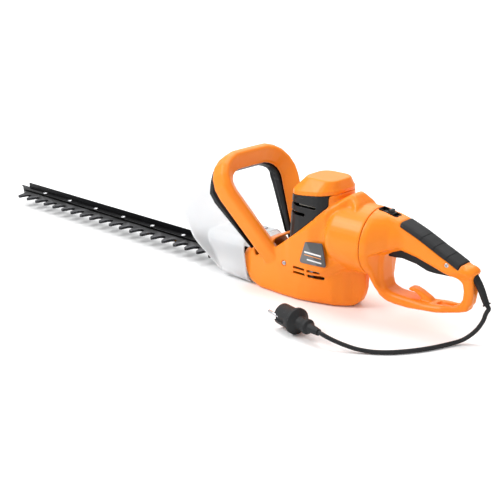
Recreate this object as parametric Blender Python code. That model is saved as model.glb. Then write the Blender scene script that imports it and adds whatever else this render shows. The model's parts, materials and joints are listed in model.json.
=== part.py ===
"""Electric hedge trimmer: blades towards -X, rear handle towards +X, base plate on z = 0.

Every size below is in millimetres, and finish() turns each mesh into metres. The origin is on the floor
plane, under the motor's vertical axis, in the middle plane of the tool.
"""

import math

import bmesh
import bpy
import numpy as np
from mathutils import Matrix, Vector

MM = 0.001
GAP = 0.3  # clearance between pieces that touch
WALL = 3.0  # moulded shells
OVER = 5.0  # how far a cutter runs past what it cuts

# Blades
BLADE_Z = 22.0  # underside of the upper blade
BLADE_T = 2.0
TOOTH_PITCH = 27.0
TOOTH_COUNT = 20
TOOTH_ROOT_Y = -19.0
TOOTH_TIP_Y = -38.0
BLADE_BACK_Y = 7.5
FIRST_TOOTH_X = -717.0
TIP_OVERHANG = 50.0
STROKE = 8.0  # each blade, each way
BAR_Z = BLADE_Z + BLADE_T + GAP
LOWER_BLADE_Z = BLADE_Z - GAP - BLADE_T
BAR_T = 2.2
FLANGE_H = 9.0
BOLT_COUNT = 6
BOLT_PITCH = 76.5
FIRST_BOLT_X = -681.0
BOLT_Y = -1.0
BOLT_R = 2.5
YOKE_X = 28.8  # the window that the eccentric disc turns in
YOKE_Y = 20.8
YOKE_RIM = 5.5
FLANGE_END = -136.0
BAR_END = -80.0

# Drive
GEAR_TEETH = 40
PINION_TEETH = 8
GEAR_MODULE = 1.25
GEAR_Z = 36.0
GEAR_H = 8.0
SHAFT_R = 4.0
BUSH_R = 6.0
BEARING_R = 11.0
BEARING_Z = (139.0, 146.0)
FRAME_Z = (47.0, 54.0)
FAN_Z = (57.0, 66.0)
FAN_R = 31.0
FAN_VANES = 9
CORE_Z = (76.0, 114.0)
CORE_R = 20.0
CORE_SLOTS = 10
STATOR_R = 36.0
COMMUTATOR_R = 10.0
BRUSH_Z = (120.5, 131.5)
DISC_R = 12.0  # eccentric discs
MOTOR_X = -8.0
GEAR_X = MOTOR_X - GEAR_MODULE * (GEAR_TEETH + PINION_TEETH) / 2

# Housing
COLUMN_HALF = 40.0  # at the top of the motor column
COLUMN_TOP = 159.0
COLUMN_RISE = 0.12  # how fast the column's top rises towards the rear
CAP_TOP = 182.5
CAP_EDGE = 166.5
BASE_T = 3.5
BARREL_R = 48.5
BARREL_Z = 105.0
SEAM_X = 88.0
NOSE_X = -132.0
VENT_END = 24.0
VENT_SLOPE = [(-70, 66), (-33.5, 94), (3.6, 126), (VENT_END, 148)]
COVER_SLOTS = [(128.5, -10.0), (141.5, 8.0)]  # low edge, and how far back it runs
COVER_SLOT_H = 4.5
SIDE_SLOTS = [(-26.0, 41.5), (-1.0, 41.5), (-26.0, 49.0), (-1.0, 49.0)]  # front end, low edge
SIDE_SLOT_L = 21.0
SIDE_SLOT_H = 4.0
PLATE_X = (-96.0, 4.0)
PLATE_HALF = 36.0
LABEL_CORNERS = [(-14, 61), (34, 64), (26, 98), (-4, 94)]
LABEL_MIDDLE = (10.5, 79)

# Screws
SCREW_HEAD_R = 3.2
SCREW_ROOM = 0.6
SCREW_SINK = 2.2
BODY_SCREWS = [(-44.0, 52.0)]
BASE_SCREWS = [(-88.0, -28.0), (-88.0, 28.0), (-6.0, -28.0), (-6.0, 28.0)]
HANDLE_SCREW = (204.5, 101.5)

# Hand guard
GUARD_SLOPE = 0.63  # how far it leans forward for each millimetre up
GUARD_X = -163.0  # where its plane would meet the floor
GUARD_T = 3.0
GUARD_HALF = [(-46, 126), (-72, 108), (-72.5, 62), (-42, 3)]
COLLAR_HALF = 46.6
COLLAR_Z = (1.5, 68.0)
COLLAR_BACK = (-113.0, -125.0)  # at its bottom and top
GUARD_SCREW_XY = (-139.0, 24.0)

# Front handle
HANDLE_LEAN = math.radians(32.0)
HANDLE_FOOT = Vector((-79.0, 0.0, 62.0))
HANDLE_TOP = 141.0  # along the lean, foot to the bar's middle
HANDLE_HALF_TOP = 80.0
HANDLE_HALF_FOOT = 35.0
HANDLE_W = 27.0
HANDLE_DEPTH = 31.0
HANDLE_BEND = 34.0
HANDLE_ARCH = 2.0
LEVER_CORE = (-17.0, -5.0)  # out of the lean, at full depth
LEVER_PLATE = (-24.5, -16.5)
LEVER_IN, LEVER_OUT = -12.6, 9.4
LEVER_FOOT = -12.0
LEVER_PLATE_FOOT = 16.0
LEVER_PIVOT_ALONG = 2.0
LEVER_PIVOT_OUT = -8.6
LEVER_PIN_R = 1.8
CHANNEL_FLOOR = -0.5

# Rear handle
LOOP_HALF = 16.0
INSIDE_CHAMFER = 4.5
OVERLAY_PROUD = 0.8
LATCH_X = (91.0, 119.0)
LATCH_HALF = 7.0
TRIGGER_HALF = 6.0
TRIGGER_PIN_R = 2.0
TRIGGER_PIVOT = Vector((203.0, 0.0, 92.0))
GLAND_DIP = math.radians(57.0)
GLAND_START = Vector((230.0, 0.0, 100.0))
GLAND_LENGTH = 52.0
GLAND_R = 5.4
GLAND_TIP_R = 4.2
CORD_R = 2.9
CORD_POINTS = 52

# Plug
PLUG_START = Vector((99.0, -144.0, 18.6))
PLUG_TURN = math.radians(168.0)
PLUG_FACE = 76.0
FLANGE_R = 18.4
PIN_SPREAD = 9.5
PIN_LENGTH = 19.0

COLOURS = {
    "orange": ((0.93, 0.24, 0.02), 0.38, 0.0),
    "black_plastic": ((0.03, 0.03, 0.034), 0.5, 0.0),
    "black_rubber": ((0.035, 0.035, 0.038), 0.75, 0.0),
    "blade_steel": ((0.02, 0.02, 0.022), 0.4, 0.9),
    "steel": ((0.55, 0.55, 0.57), 0.3, 1.0),
    "frosted": ((0.85, 0.86, 0.87), 0.45, 0.0),
    "label": ((0.08, 0.08, 0.085), 0.3, 0.0),
    "copper": ((0.75, 0.36, 0.18), 0.35, 1.0),
    "brass": ((0.78, 0.60, 0.30), 0.4, 1.0),
    "aluminium": ((0.65, 0.66, 0.68), 0.4, 1.0),
    "nylon": ((0.8, 0.78, 0.7), 0.5, 0.0),
}


# ---------------------------------------------------------------- tools


def clear_scene():
    for obj in list(bpy.data.objects):
        bpy.data.objects.remove(obj, do_unlink=True)


def material(slot):
    found = bpy.data.materials.get(slot)
    if found:
        return found
    colour, roughness, metallic = COLOURS[slot]
    made = bpy.data.materials.new(slot)
    made.use_nodes = True
    shader = made.node_tree.nodes["Principled BSDF"]
    shader.inputs["Base Color"].default_value = (*colour, 1.0)
    shader.inputs["Roughness"].default_value = roughness
    shader.inputs["Metallic"].default_value = metallic
    if slot == "frosted":
        shader.inputs["Alpha"].default_value = 0.5
    return made


def finish(name, bm, slot, pivot=(0.0, 0.0, 0.0)):
    """The bmesh as a named object in metres, with its origin at pivot."""
    bmesh.ops.recalc_face_normals(bm, faces=bm.faces)
    if bm.calc_volume(signed=True) < 0:
        bmesh.ops.reverse_faces(bm, faces=bm.faces)
    bmesh.ops.translate(bm, vec=-Vector(pivot), verts=bm.verts)
    bmesh.ops.scale(bm, vec=(MM, MM, MM), verts=bm.verts)
    mesh = bpy.data.meshes.new(name)
    bm.to_mesh(mesh)
    bm.free()
    mesh.shade_smooth()
    mesh.set_sharp_from_angle(angle=math.radians(32))
    mesh.materials.append(material(slot))
    obj = bpy.data.objects.new(name, mesh)
    obj.location = Vector(pivot) * MM
    bpy.context.scene.collection.objects.link(obj)
    return obj


def helper(bm, name):
    mesh = bpy.data.meshes.new(name)
    bm.to_mesh(mesh)
    obj = bpy.data.objects.new(name, mesh)
    bpy.context.scene.collection.objects.link(obj)
    return obj


def boolean(base, tool, operation):
    """base with tool cut away, joined on, or kept in common. Both bmeshes are used up."""
    body, other = helper(base, "body"), helper(tool, "other")
    change = body.modifiers.new("change", "BOOLEAN")
    change.operation = operation
    change.solver = "EXACT"
    change.object = other
    graph = bpy.context.evaluated_depsgraph_get()
    result = bmesh.new()
    result.from_mesh(body.evaluated_get(graph).to_mesh())
    bpy.data.objects.remove(body, do_unlink=True)
    bpy.data.objects.remove(other, do_unlink=True)
    base.free()
    tool.free()
    bmesh.ops.remove_doubles(result, verts=result.verts, dist=0.002)
    bmesh.ops.dissolve_limit(result, angle_limit=0.002, verts=result.verts, edges=result.edges)
    bmesh.ops.triangulate(result, faces=[f for f in result.faces if len(f.verts) > 4])
    return result


def cut(base, *tools):
    for tool in tools:
        base = boolean(base, tool, "DIFFERENCE")
    return base


def join(base, *tools):
    for tool in tools:
        base = boolean(base, tool, "UNION")
    return base


def common(base, tool):
    return boolean(base, tool, "INTERSECT")


def moved(bm, offset=(0, 0, 0), turn=None):
    if turn is not None:
        bmesh.ops.transform(bm, matrix=turn, verts=bm.verts)
    bmesh.ops.translate(bm, vec=offset, verts=bm.verts)
    return bm


def bevelled(bm, width, segments=2, edges=None):
    if width > 0:
        chosen = list(edges if edges is not None else bm.edges)
        bmesh.ops.bevel(
            bm, geom=chosen, offset=width, segments=segments, profile=0.5, affect="EDGES"
        )
    return bm


def block(x, y, z, bevel=0.0, segments=2):
    """A box from three (low, high) pairs."""
    bm = bmesh.new()
    size = Vector((x[1] - x[0], y[1] - y[0], z[1] - z[0]))
    bmesh.ops.create_cube(bm, size=1.0)
    bmesh.ops.scale(bm, vec=size, verts=bm.verts)
    bmesh.ops.translate(bm, vec=(sum(x) / 2, sum(y) / 2, sum(z) / 2), verts=bm.verts)
    return bevelled(bm, bevel, segments)


def loft(rings):
    """A skin over rings of 3-D points, capped at both ends."""
    bm = bmesh.new()
    loops = []
    for points in rings:
        verts = [bm.verts.new(p) for p in points]
        edges = [bm.edges.new((a, b)) for a, b in zip(verts, verts[1:] + verts[:1])]
        loops.append((verts, edges))
    bm.faces.new(loops[0][0])
    bm.faces.new(loops[-1][0])
    for (_, first), (_, second) in zip(loops, loops[1:]):
        bmesh.ops.bridge_loops(bm, edges=first + second)
    bmesh.ops.recalc_face_normals(bm, faces=bm.faces)
    return bm


def on_plane(axis, u, v, at):
    """The 3-D point of (u, v) on the plane across this axis."""
    return {"x": (at, u, v), "y": (u, at, v), "z": (u, v, at)}[axis]


def prism(outline, axis, low, high, bevel=0.0, segments=2):
    bm = loft([[on_plane(axis, u, v, at) for u, v in outline] for at in (low, high)])
    if bevel > 0:
        index = "xyz".index(axis)
        ends = [e for e in bm.edges if abs(e.verts[0].co[index] - e.verts[1].co[index]) < 1e-6]
        bevelled(bm, bevel, segments, ends)
    return bm


def circle(radius, steps, centre=(0.0, 0.0), squash=1.0):
    turn = 2 * math.pi / steps
    return [
        (centre[0] + radius * math.cos(i * turn), centre[1] + radius * squash * math.sin(i * turn))
        for i in range(steps)
    ]


def turned(profile, steps=24, closed=False, axis="z", centre=(0.0, 0.0)):
    """A shape turned about an axis, from (radius, height) pairs. closed makes a ring."""
    points = list(profile)
    if not closed:
        points = [(0.0, profile[0][1]), *points, (0.0, profile[-1][1])]
    bm = bmesh.new()
    verts = [bm.verts.new(on_plane(axis, centre[0] + r, centre[1], height)) for r, height in points]
    edges = [bm.edges.new(pair) for pair in zip(verts, verts[1:])]
    if closed:
        edges.append(bm.edges.new((verts[-1], verts[0])))
    bmesh.ops.spin(bm, geom=verts + edges, cent=on_plane(axis, *centre, 0.0),
                   axis=on_plane(axis, 0.0, 0.0, 1.0), angle=2 * math.pi, steps=steps, use_merge=True)
    bmesh.ops.remove_doubles(bm, verts=bm.verts, dist=0.0001)
    bmesh.ops.recalc_face_normals(bm, faces=bm.faces)
    if bm.calc_volume(signed=True) < 0:
        bmesh.ops.reverse_faces(bm, faces=bm.faces)
    return bm


def tube(outer, inner, low, high, steps=24, axis="z", centre=(0.0, 0.0)):
    profile = [(outer, low), (outer, high), (inner, high), (inner, low)]
    return turned(profile, steps, True, axis, centre)


def rounded(corners, radii, steps=4):
    """A closed outline whose corners are arcs of the given radii."""
    points = []
    count = len(corners)
    for i, (corner, radius) in enumerate(zip(corners, radii)):
        here = Vector(corner)
        back = (Vector(corners[i - 1]) - here).normalized()
        ahead = (Vector(corners[(i + 1) % count]) - here).normalized()
        half = back.angle(ahead) / 2
        reach = radius / math.tan(half)
        middle = here + (back + ahead).normalized() * (radius / math.sin(half))
        first, last = here + back * reach - middle, here + ahead * reach - middle
        total = first.angle_signed(last)
        for k in range(steps):
            arm = first.copy()
            arm.rotate(Matrix.Rotation(-total * k / (steps - 1), 2))
            points.append(tuple(middle + arm))
    return points


def smooth_curve(route, count):
    """Points at even steps along one smooth curve through the route's points."""
    pts = [Vector(p) for p in route]
    ends = [pts[0] * 2 - pts[1]] + pts + [pts[-1] * 2 - pts[-2]]
    fine = []
    for a, b, c, d in zip(ends, ends[1:], ends[2:], ends[3:]):
        for k in range(24):
            t = k / 24
            fine.append(
                0.5 * ((2 * b) + (c - a) * t + (2 * a - 5 * b + 4 * c - d) * t**2
                       + (3 * b - a - 3 * c + d) * t**3)
            )
    fine.append(pts[-1])
    steps = [0.0]
    for p, q in zip(fine, fine[1:]):
        steps.append(steps[-1] + (q - p).length)
    wanted = np.linspace(0, steps[-1], count)
    return [Vector([float(np.interp(w, steps, [p[k] for p in fine])) for k in range(3)])
            for w in wanted]


# ---------------------------------------------------------------- housing

# (x, base half width, base z, top half width, top z, base radius, top radius)
LOWER_CASE = [
    (NOSE_X, 34, 24, 32, 50, 9, 10),
    (-123, 40, 14, 36, 57, 11, 13),
    (-112, 43, 4, 39, 65, 11, 14),
    (-92, 44, 0, 40, 74, 7, 14),
    (-50, 45, 0, 43, 92, 7, 14),
    (-20, 44.5, 0, 44, 94, 8, 14),
    (0, 40.5, 0, 43, 94, 9, 14),
    (18, 35, 0.5, 40, 90, 10, 14),
    (34, 30, 0.5, 34, 82, 10, 13),
    (48, 20.5, 1, 26, 75, 9, 11),
    (57, 12.5, 2.5, 18, 70, 6, 8),
    (64, 8.5, 9, 12.5, 66, 4, 6),
    (69, 6, 18, 9, 62, 3, 4),
    (73, 4, 30, 6, 59, 2, 3),
]
SHOULDER = [
    (-62, 43, 36, 39, 79, 5, 9),
    (-34, 45, 36, 45, 100, 6, 12),
    (0, 46, 36, 45, 125, 14, 13),
    (24, 46, 38, 36, 148, 24, 14),
    (38, 46, 43, 25, 159, 30, 12),
    (49, 46, 49, 15, 167, 32, 9),
    (55, 46, 53, 15, 165, 32, 9),
    (64, 45, 60, 22, 157, 30, 12),
    (76, 42, 68, 26, 142, 26, 14),
]


def section(x, base, base_z, top, top_z, base_r, top_r, inset=0.0):
    corners = [
        (-(base - inset), base_z + inset),
        (base - inset, base_z + inset),
        (top - inset, top_z - inset),
        (-(top - inset), top_z - inset),
    ]
    radii = [min(max(r - inset, 1.0), half - inset)
             for r, half in ((base_r, base), (base_r, base), (top_r, top), (top_r, top))]
    return [(x, y, z) for y, z in rounded(corners, radii, 5)]


def hull(stations, inset=0.0):
    rows = [list(s) for s in stations]
    rows[0][0] += inset
    rows[-1][0] -= inset
    return loft([section(*row, inset=inset) for row in rows])


def column_ring(half, z, rise=0.0, roundness=0.72):
    """The column's plan, a square with large rounds, in a plane that rises towards the rear."""
    low, high = MOTOR_X - half, MOTOR_X + half
    corners = [(low, -half), (high, -half), (high, half), (low, half)]
    return [(x, y, z + rise * (x - MOTOR_X)) for x, y in rounded(corners, [half * roundness] * 4, 7)]


def column(inset=0.0, low=56.0, high=COLUMN_TOP):
    slope = 5.0 / (COLUMN_TOP - 56.0)
    rings = []
    for z, rise in ((low, 0.0), (high, COLUMN_RISE)):
        half = COLUMN_HALF + (COLUMN_TOP - z) * slope - inset
        rings.append(column_ring(half, z, rise))
    return loft(rings)


def barrel(inset=0.0, low=24.0, high=SEAM_X - GAP):
    profile = [(BARREL_R - 10 - inset, low), (BARREL_R - 2.5 - inset, low + 7),
               (BARREL_R - inset, low + 14), (BARREL_R - inset, high)]
    return turned(profile, 40, axis="x", centre=(0.0, BARREL_Z))


def vent_region(gap=0.0):
    """The front and side band of the column, above the shoulder, that the vent cover fills."""
    *lower, (end, last) = VENT_SLOPE
    outline = [(x, z + gap) for x, z in lower]
    outline += [(end - gap, last + gap), (end - gap, CAP_TOP), (VENT_SLOPE[0][0], CAP_TOP)]
    return prism(outline, "y", -60, 60)


def handle_matrix():
    """Turns (across, along the lean, out of the lean) about the foot into the tool's own axes."""
    along = Vector((-math.sin(HANDLE_LEAN), 0, math.cos(HANDLE_LEAN)))
    out = Vector((math.cos(HANDLE_LEAN), 0, math.sin(HANDLE_LEAN)))
    turn = Matrix((Vector((0, 1, 0)), along, out)).transposed().to_4x4()
    return Matrix.Translation(HANDLE_FOOT) @ turn


def between(a, b, share):
    return tuple(Vector(a).lerp(Vector(b), share))


def handle_path(foot=-12.0, steps=6):
    """The middle line of the loop as (across, along), from one foot over the bar to the other."""
    lean_in = (HANDLE_HALF_TOP - HANDLE_HALF_FOOT) / HANDLE_TOP
    start = HANDLE_HALF_FOOT + lean_in * foot
    corners = [(-start, foot), (-HANDLE_HALF_TOP, HANDLE_TOP), (HANDLE_HALF_TOP, HANDLE_TOP),
               (start, foot)]
    arcs = rounded(corners, [0.01, HANDLE_BEND, HANDLE_BEND, 0.01], steps)[steps:3 * steps]
    near, far = arcs[:steps], arcs[steps:]
    legs = [(-start, foot)] + [between(corners[0], near[0], k / 4) for k in (1, 2, 3)]
    bar = [between(near[-1], far[0], k / 4) for k in (1, 2, 3)]
    path = [*legs, *near, *bar, *far, *((-x, z) for x, z in reversed(legs))]
    return [(x, z + HANDLE_ARCH * max(0.0, 1 - (x / HANDLE_HALF_TOP) ** 2)
             if z > HANDLE_TOP - 1 else z) for x, z in path]


def swept(path, profile):
    """profile, as (outwards, out of the lean) pairs, carried along a path in the lean's plane."""
    rings = []
    for i, here in enumerate(path):
        here = Vector(here)
        before = (here - Vector(path[i - 1])).normalized() if i else None
        after = (Vector(path[i + 1]) - here).normalized() if i + 1 < len(path) else None
        if before is None or after is None:
            direction, stretch = before or after, 1.0
        else:
            direction = (before + after).normalized()
            stretch = 1.0 / direction.dot(before)
        side = Vector((-direction.y, direction.x)) * stretch
        scale = profile(i / (len(path) - 1)) if callable(profile) else profile
        rings.append([(here.x + side.x * u, here.y + side.y * u, v) for u, v in scale])
    return loft(rings)


def bar_profile(grow=0.0, steps=3):
    """The loop's section: its back slopes down to the opening from a ridge near the outer side."""
    half = HANDLE_W / 2 + grow
    low, high = -HANDLE_DEPTH / 2 + 2.5 - grow, HANDLE_DEPTH / 2 + 2.5 + grow
    corners = [(-half, low), (half, low), (half, high - 6.0), (half - 8.0, high), (-half, high - 14.0)]
    return rounded(corners, [4.0, 5.0, 6.0, 4.0, 4.0], steps)


def handle_solid(grow=0.0):
    path = handle_path(foot=-12.0 - grow)
    loop = swept(path, bar_profile(grow))
    return moved(loop, turn=handle_matrix())


def side_profile(inner, outer, low, high, radius):
    """The section of a piece in the front loop, from its inner to its outer side."""
    corners = [(inner, low), (outer, low), (outer, high), (inner, high)]
    return rounded(corners, [radius] * 4, 3)


def front_handle():
    """The orange loop; the switch lever fills the front of its inner side."""
    loop = handle_solid()
    channel = side_profile(-30.0, LEVER_OUT + 0.7, -40.0, CHANNEL_FLOOR, 0.6)
    loop = cut(loop, moved(swept(handle_path(foot=-30.0), channel), turn=handle_matrix()))
    return finish("front_handle", pin_pockets(loop), "orange")


def lever_solid():
    """A core inside the loop's channel, and a plate in front of it that tapers to the feet."""
    def fullness(share):
        return min(1.0, 5.5 * min(share, 1.0 - share))

    def core(share):
        low = LEVER_FOOT + (LEVER_CORE[0] - LEVER_FOOT) * fullness(share)
        return side_profile(LEVER_IN, LEVER_OUT, low, LEVER_CORE[1], 2.0)

    def plate(share):
        low, high = LEVER_PLATE
        end = max(0.0, min(1.0, (0.29 - min(share, 1.0 - share)) / 0.06))
        full = fullness(share) * end
        outer = LEVER_OUT + (HANDLE_W / 2 - 1.0 - LEVER_OUT) * end
        return side_profile(LEVER_IN + 1.0, outer, high - 1.2 + (low - high + 1.2) * full, high, 0.55)

    return join(swept(handle_path(foot=-4.0), core), swept(handle_path(foot=LEVER_PLATE_FOOT), plate))


def lever_pocket():
    """Room in the deck for the feet of the lever's plate."""
    low, high = LEVER_PLATE
    profile = side_profile(LEVER_IN - 1.0, HANDLE_W / 2 + 0.7, low - 1.5, high + 11.0, 1.0)
    return moved(swept(handle_path(foot=LEVER_PLATE_FOOT - 14.0), profile), turn=handle_matrix())


def lever_pivot():
    return handle_matrix() @ Vector((0.0, LEVER_PIVOT_ALONG, LEVER_PIVOT_OUT))


def lever_pin_middle(side):
    lean_in = (HANDLE_HALF_TOP - HANDLE_HALF_FOOT) / HANDLE_TOP
    across = HANDLE_HALF_FOOT + lean_in * LEVER_PIVOT_ALONG
    return handle_matrix() @ Vector((side * across, LEVER_PIVOT_ALONG, LEVER_PIVOT_OUT))


def front_lever():
    lever = moved(lever_solid(), turn=handle_matrix())
    for side in (-1, 1):
        middle = lever_pin_middle(side)
        hole = turned([(LEVER_PIN_R + GAP, middle.y - 20), (LEVER_PIN_R + GAP, middle.y + 20)], 16,
                      axis="y", centre=(middle.x, middle.z))
        lever = cut(lever, hole)
    return finish("front_switch_lever", lever, "black_plastic", lever_pivot())


def lever_pins():
    for side, name in ((-1, "left"), (1, "right")):
        middle = lever_pin_middle(side)
        ends = [(LEVER_PIN_R, middle.y - side * 11.0),
                (LEVER_PIN_R, middle.y + side * (LEVER_OUT + 1.4))]
        pin = turned(ends, 12, axis="y", centre=(middle.x, middle.z))
        finish(f"lever_pin_{name}", pin, "steel")


def pin_pockets(shape):
    for side in (-1, 1):
        middle = lever_pin_middle(side)
        ends = [(LEVER_PIN_R + GAP, middle.y), (LEVER_PIN_R + GAP, middle.y + side * (LEVER_OUT + 1.8))]
        pocket = turned(ends, 12, axis="y", centre=(middle.x, middle.z))
        shape = cut(shape, pocket)
    return shape


def housing():
    """The two halves of the body, hollow, with the openings that other pieces fill."""
    outer = join(hull(LOWER_CASE), hull(SHOULDER), column(), barrel())
    inner = join(hull(LOWER_CASE, WALL), hull(SHOULDER, WALL), column(WALL, 40.0, COLUMN_TOP + OVER),
                 barrel(WALL, 30.0, SEAM_X + OVER), plate_solid(GAP))
    cap_room = loft([column_ring(COLUMN_HALF + 0.6, z, COLUMN_RISE)
                     for z in (COLUMN_TOP, CAP_TOP + OVER)])
    shell = cut(outer, inner, cap_room, vent_region())
    mouth = block((NOSE_X - OVER, NOSE_X + 14), (TOOTH_ROOT_Y - 4, BLADE_BACK_Y + 8),
                  (BLADE_Z - 6, BLADE_Z + 10))
    shell = cut(shell, mouth, handle_solid(GAP), lever_pocket())
    for side in (-1, 1):
        edge = sorted((side * 30.0, side * 60.0))
        for x, z in SIDE_SLOTS:
            shell = cut(shell, block((x, x + SIDE_SLOT_L), edge, (z, z + SIDE_SLOT_H)))
    for side, name in ((-1, "left"), (1, "right")):
        keep = sorted((side * GAP / 2, side * 80.0))
        half = common(shell.copy(), block((-200, 200), keep, (-20, 220)))
        if side < 0:
            half = cut(half, *(screw_pocket(x, z) for x, z in BODY_SCREWS))
        half = cut(half, label_block(side, GAP))
        finish(f"body_shell_{name}", half, "orange")
    shell.free()


def shell_y(x, z):
    """How far out the left shell's outside lies at a screw."""
    if z > BARREL_Z:
        return -math.sqrt(BARREL_R**2 - (z - BARREL_Z) ** 2)
    return -float(np.interp(x, [s[0] for s in LOWER_CASE], [s[1] for s in LOWER_CASE]))


def screw_pocket(x, z):
    y = shell_y(x, z)
    head = SCREW_HEAD_R + SCREW_ROOM
    return turned([(head, y - 12), (head, y + SCREW_SINK)], 20, axis="y", centre=(x, z))


def label_block(side, grow=0.0):
    """A thin plate let into the side of the body."""
    skin = SHOULDER[2][1] - 0.4
    span = sorted((side * (skin - 1.0 - grow), side * (skin + 0.8 + (OVER if grow else 0))))
    middle = Vector(LABEL_MIDDLE)
    corners = [tuple(middle + (Vector(p) - middle) * (1 + grow / 20)) for p in LABEL_CORNERS]
    return prism(rounded(corners, [3.0] * 4, 4), "y", *span)


def labels():
    for side, name in ((-1, "left"), (1, "right")):
        finish(f"name_plate_{name}", label_block(side), "label")


def cap_ring(half, z):
    """The cap's flat top, whose middle lies over the origin."""
    return [(x - MOTOR_X, y, z) for x, y, z in column_ring(half, z, 0.0, 0.62)]


def motor_cap():
    low = COLUMN_TOP + GAP
    half = COLUMN_HALF - 0.5
    cap = loft([column_ring(half, low, COLUMN_RISE), column_ring(half, CAP_EDGE - 1.5, COLUMN_RISE),
                column_ring(half - 1.2, CAP_EDGE, COLUMN_RISE), cap_ring(27.5, CAP_TOP - 1.5),
                cap_ring(25.5, CAP_TOP)])
    room = loft([column_ring(half - WALL, low - OVER, COLUMN_RISE),
                 column_ring(half - WALL, CAP_EDGE - WALL, COLUMN_RISE),
                 cap_ring(23.0, CAP_TOP - WALL)])
    finish("motor_cap", cut(cap, room), "orange")


def vent_cover():
    skin = cut(column(), column(WALL - 0.4, 40.0, COLUMN_TOP + OVER))
    skin = common(skin, vent_region(GAP))
    for z, back in COVER_SLOTS:
        skin = cut(skin, block((-80, back), (-80, 80), (z, z + COVER_SLOT_H)))
        skin = join(skin, block((-46, -37), (-20, 20), (z - 1, z + COVER_SLOT_H + 1)))
    finish("vent_cover", skin, "black_plastic")


def plate_solid(grow=0.0):
    """The base plate's block; grown, it cuts the opening that the plate fills."""
    (start, end), half = PLATE_X, PLATE_HALF + grow
    corners = [(start - grow, -half), (end + grow, -half), (end + grow, half), (start - grow, half)]
    low, high = (-OVER, WALL + OVER) if grow else (0.0, BASE_T)
    return prism(rounded(corners, [8.0] * 4, 4), "z", low, high)


def base_plate():
    """Closes the bottom of the body; the tool rests on it."""
    boss = turned([(9.0, BASE_T - 0.5), (9.0, 15.0)], 24, centre=(GEAR_X, 0.0))
    bore = turned([(BUSH_R + GAP, 4.5), (BUSH_R + GAP, 20.0)], 24, centre=(GEAR_X, 0.0))
    plate = cut(join(plate_solid(), boss), bore)
    for x, y in BASE_SCREWS:
        plate = cut(plate, turned([(4.2, -OVER), (4.2, 2.2)], 16, centre=(x, y)))
    return finish("base_plate", plate, "aluminium")


def screw(name, at, direction, head_r=SCREW_HEAD_R, head_h=2.0, slot="steel"):
    """A cross-recessed screw head, sunk in its pocket, pointing along direction."""
    head = turned([(head_r * 0.8, 0.0), (head_r, -0.6), (head_r, -head_h)], 20)
    cross = join(block((-0.5, 0.5), (-1.9, 1.9), (-1.0, 1.0)),
                 block((-1.9, 1.9), (-0.5, 0.5), (-1.1, 1.1)))
    turn = Vector((0, 0, 1)).rotation_difference(Vector(direction)).to_matrix().to_4x4()
    finish(name, moved(cut(head, cross), at, turn), slot)


def screws():
    for i, (x, z) in enumerate(BODY_SCREWS, 1):
        screw(f"body_screw_{i}", (x, shell_y(x, z) + 0.2, z), (0, -1, 0), head_h=SCREW_SINK - 0.2 - GAP)
    for i, (x, y) in enumerate(BASE_SCREWS, 1):
        screw(f"base_screw_{i}", (x, y, 0.2), (0, 0, -1), head_h=1.7)


# ---------------------------------------------------------------- guard and blades


def sheared(bm):
    """Leans a shape forward with height, as the guard leans."""
    for v in bm.verts:
        v.co.x -= GUARD_SLOPE * v.co.z
    return bm


def hand_guard():
    corners = GUARD_HALF + [(-y, z) for y, z in reversed(GUARD_HALF)]
    radii = [16, 20, 40, 8, 8, 40, 20, 16]
    plate = sheared(prism(rounded(corners, radii, 6), "x", GUARD_X, GUARD_X + GUARD_T))
    low, high = COLLAR_Z
    box = [(-COLLAR_HALF, low), (COLLAR_HALF, low), (COLLAR_HALF, high), (-COLLAR_HALF, high)]
    wall = GUARD_T - 0.6
    room = [(u * (1 - GUARD_T / COLLAR_HALF), v + (wall if v == low else -wall)) for u, v in box]
    collar = cut(prism(rounded(box, [16] * 4, 5), "x", -230, COLLAR_BACK[0]),
                 prism(rounded(room, [13.5] * 4, 5), "x", -230 - OVER, COLLAR_BACK[0] + OVER))
    behind = [(COLLAR_BACK[0], low - OVER), (COLLAR_BACK[1], high + OVER), (0, high + OVER),
              (0, low - OVER)]
    collar = cut(collar, prism(behind, "y", -90, 90))
    front = sheared(block((-300, GUARD_X + GUARD_T / 2), (-90, 90), (-20, 160)))
    guard = join(plate, cut(collar, front))
    slot = block((-240, -150), (TOOTH_ROOT_Y - 5, BLADE_BACK_Y + 8), (BLADE_Z - 6, BLADE_Z + 17))
    finish("hand_guard", cut(guard, slot), "frosted")
    for side, name in ((-1, "left"), (1, "right")):
        x, y = GUARD_SCREW_XY
        screw(f"guard_screw_{name}", (x, side * y, COLLAR_Z[1] + GAP + 2.2), (0, 0, 1), 4.0, 2.2)


def blade_outline():
    """The edge of one blade, teeth first, then the yoke that the eccentric drives."""
    points = [(FIRST_TOOTH_X - TIP_OVERHANG, BLADE_BACK_Y), (FIRST_TOOTH_X - 24, -9.0),
              (FIRST_TOOTH_X - 13, -13.0), (FIRST_TOOTH_X - 8.5, TOOTH_ROOT_Y - 1)]
    for i in range(TOOTH_COUNT):
        x = FIRST_TOOTH_X + i * TOOTH_PITCH
        if i:
            points += [(x - 12.0, TOOTH_ROOT_Y), (x - 8.5, TOOTH_ROOT_Y - 2.0)]
        points += [(x - 3.4, TOOTH_TIP_Y + 2.5), (x - 1.6, TOOTH_TIP_Y + 0.4),
                   (x + 1.2, TOOTH_TIP_Y), (x + 3.4, TOOTH_TIP_Y + 2.0),
                   (x + 6.0, TOOTH_ROOT_Y - 3.5), (x + 9.5, TOOTH_ROOT_Y - 0.6)]
    front, back = GEAR_X - YOKE_X - YOKE_RIM, GEAR_X + YOKE_X + YOKE_RIM
    side = YOKE_Y + YOKE_RIM
    points += [(front - 14, TOOTH_ROOT_Y), (front, -side), (back, -side), (back, side),
               (front, side), (front - 14, BLADE_BACK_Y)]
    return points


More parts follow.
